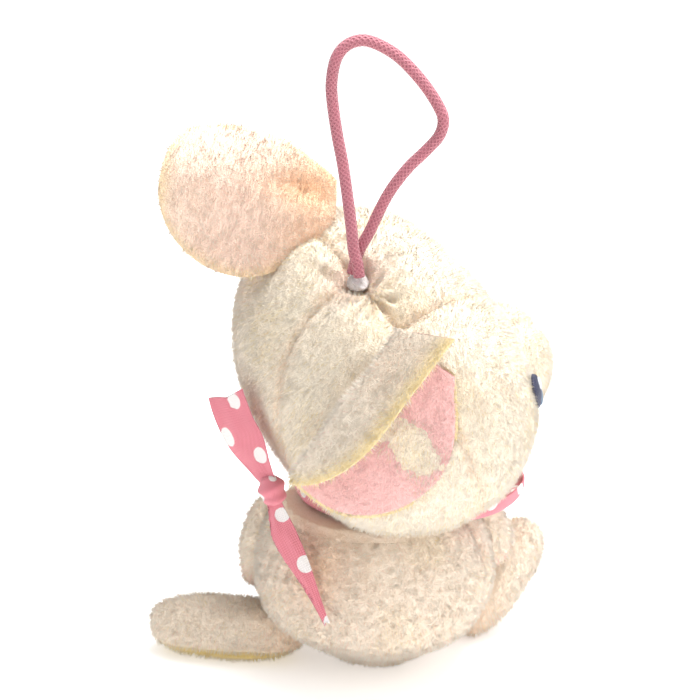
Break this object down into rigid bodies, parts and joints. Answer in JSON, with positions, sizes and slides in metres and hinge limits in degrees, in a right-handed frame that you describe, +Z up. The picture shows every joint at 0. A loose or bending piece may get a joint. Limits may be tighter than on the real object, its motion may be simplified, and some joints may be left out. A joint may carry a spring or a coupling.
{
  "type": "plush mouse charm",
  "caption": "Small seated plush mouse with a large tilted head, soft lined ears, a ribbon bow at the nape and an elastic cord loop on the crown.",
  "frame": {"origin": "centre of the flat seat that the body stands on", "axes": "+Z up through the body, the body's front faces -Y, the mouse's left is +X; the head is turned to the mouse's right"},
  "size_m": [0.0826, 0.0894, 0.1377],
  "materials": {
    "cream_plush": "matte",
    "pink_plush": "matte",
    "fibre_fill": "matte",
    "pink_ribbon": "satin",
    "elastic_cord": "matte",
    "pink_thread": "satin",
    "dark_thread": "satin",
    "tack_thread": "matte"
  },
  "bodies": {
    "torso": {"torso_back_panel": "cream_plush", "torso_belly_panel": "cream_plush", "seat_panel": "cream_plush", "neck_panel": "cream_plush", "torso_stuffing": "fibre_fill"},
    "head": {"head_back_left": "cream_plush", "head_back_right": "cream_plush", "head_forehead": "cream_plush", "head_face_left": "cream_plush", "head_face_right": "cream_plush", "head_stuffing": "fibre_fill", "muzzle": "cream_plush", "nose": "pink_thread", "eye_left": "dark_thread", "eye_right": "dark_thread", "loop_tack": "tack_thread", "loop_knot": "elastic_cord", "collar_ribbon": "pink_ribbon", "bow_knot": "pink_ribbon"},
    "ear_left": {"ear_left_outer": "cream_plush", "ear_left_lining": "pink_plush"},
    "ear_right": {"ear_right_outer": "cream_plush", "ear_right_lining": "pink_plush"},
    "bow_tail_upper": {"bow_upper_tail": "pink_ribbon"},
    "bow_tail_lower": {"bow_lower_tail": "pink_ribbon"},
    "loop": {"hang_loop": "elastic_cord"},
    "arm_left": {"arm_left": "cream_plush"},
    "arm_right": {"arm_right": "cream_plush"},
    "foot_left": {"foot_left_upper": "cream_plush", "foot_left_sole": "cream_plush"},
    "foot_right": {"foot_right_upper": "cream_plush", "foot_right_sole": "cream_plush"}
  },
  "joints": [
    {"name": "neck_turn", "type": "hinge", "parent": "torso", "child": "head", "pos_m": [-0.0014, -0.0005, 0.0364], "axis": [0, 0, 1], "range_deg": [-12, 60], "stiffness_Nm_per_rad": 0.02},
    {"name": "ear_left_flap", "type": "hinge", "parent": "head", "child": "ear_left", "pos_m": [0.01228, 0.0003, 0.0993], "axis": [-0.027, 0.384, -0.9229], "range_deg": [-15, 10], "stiffness_Nm_per_rad": 0.004},
    {"name": "ear_right_flap", "type": "hinge", "parent": "head", "child": "ear_right", "pos_m": [-0.01663, 0.02311, 0.0784], "axis": [0.4168, 0.3908, 0.8207], "range_deg": [0, 35], "stiffness_Nm_per_rad": 0.004},
    {"name": "loop_swing", "type": "hinge", "parent": "head", "child": "loop", "pos_m": [-0.00058, 0.01429, 0.0896], "axis": [-0.9397, -0.342, 0], "range_deg": [-15, 60], "stiffness_Nm_per_rad": 0.003},
    {"name": "bow_tail_upper_flap", "type": "hinge", "parent": "head", "child": "bow_tail_upper", "pos_m": [0.0164, 0.0223, 0.049], "axis": [-0.7661, 0.3831, 0.5161], "range_deg": [0, 40], "stiffness_Nm_per_rad": 0.001},
    {"name": "bow_tail_lower_flap", "type": "hinge", "parent": "head", "child": "bow_tail_lower", "pos_m": [0.013, 0.024, 0.0408], "axis": [0.8361, -0.091, -0.541], "range_deg": [0, 45], "stiffness_Nm_per_rad": 0.001},
    {"name": "arm_left_lift", "type": "hinge", "parent": "torso", "child": "arm_left", "pos_m": [0.0219, 0.0004, 0.0354], "axis": [0.07, -0.9975, 0], "range_deg": [0, 30], "stiffness_Nm_per_rad": 0.004},
    {"name": "arm_right_lift", "type": "hinge", "parent": "torso", "child": "arm_right", "pos_m": [-0.0172, -0.0103, 0.0364], "axis": [-0.6112, 0.7915, 0], "range_deg": [0, 12], "stiffness_Nm_per_rad": 0.004},
    {"name": "foot_left_lift", "type": "hinge", "parent": "torso", "child": "foot_left", "pos_m": [0.024, 0.0105, 0.0125], "axis": [0.165, -0.9863, 0], "range_deg": [0, 20], "stiffness_Nm_per_rad": 0.006},
    {"name": "foot_right_lower", "type": "hinge", "parent": "torso", "child": "foot_right", "pos_m": [-0.017, -0.013, 0.002], "axis": [0.8555, -0.5177, 0], "range_deg": [0, 20], "stiffness_Nm_per_rad": 0.006}
  ]
}
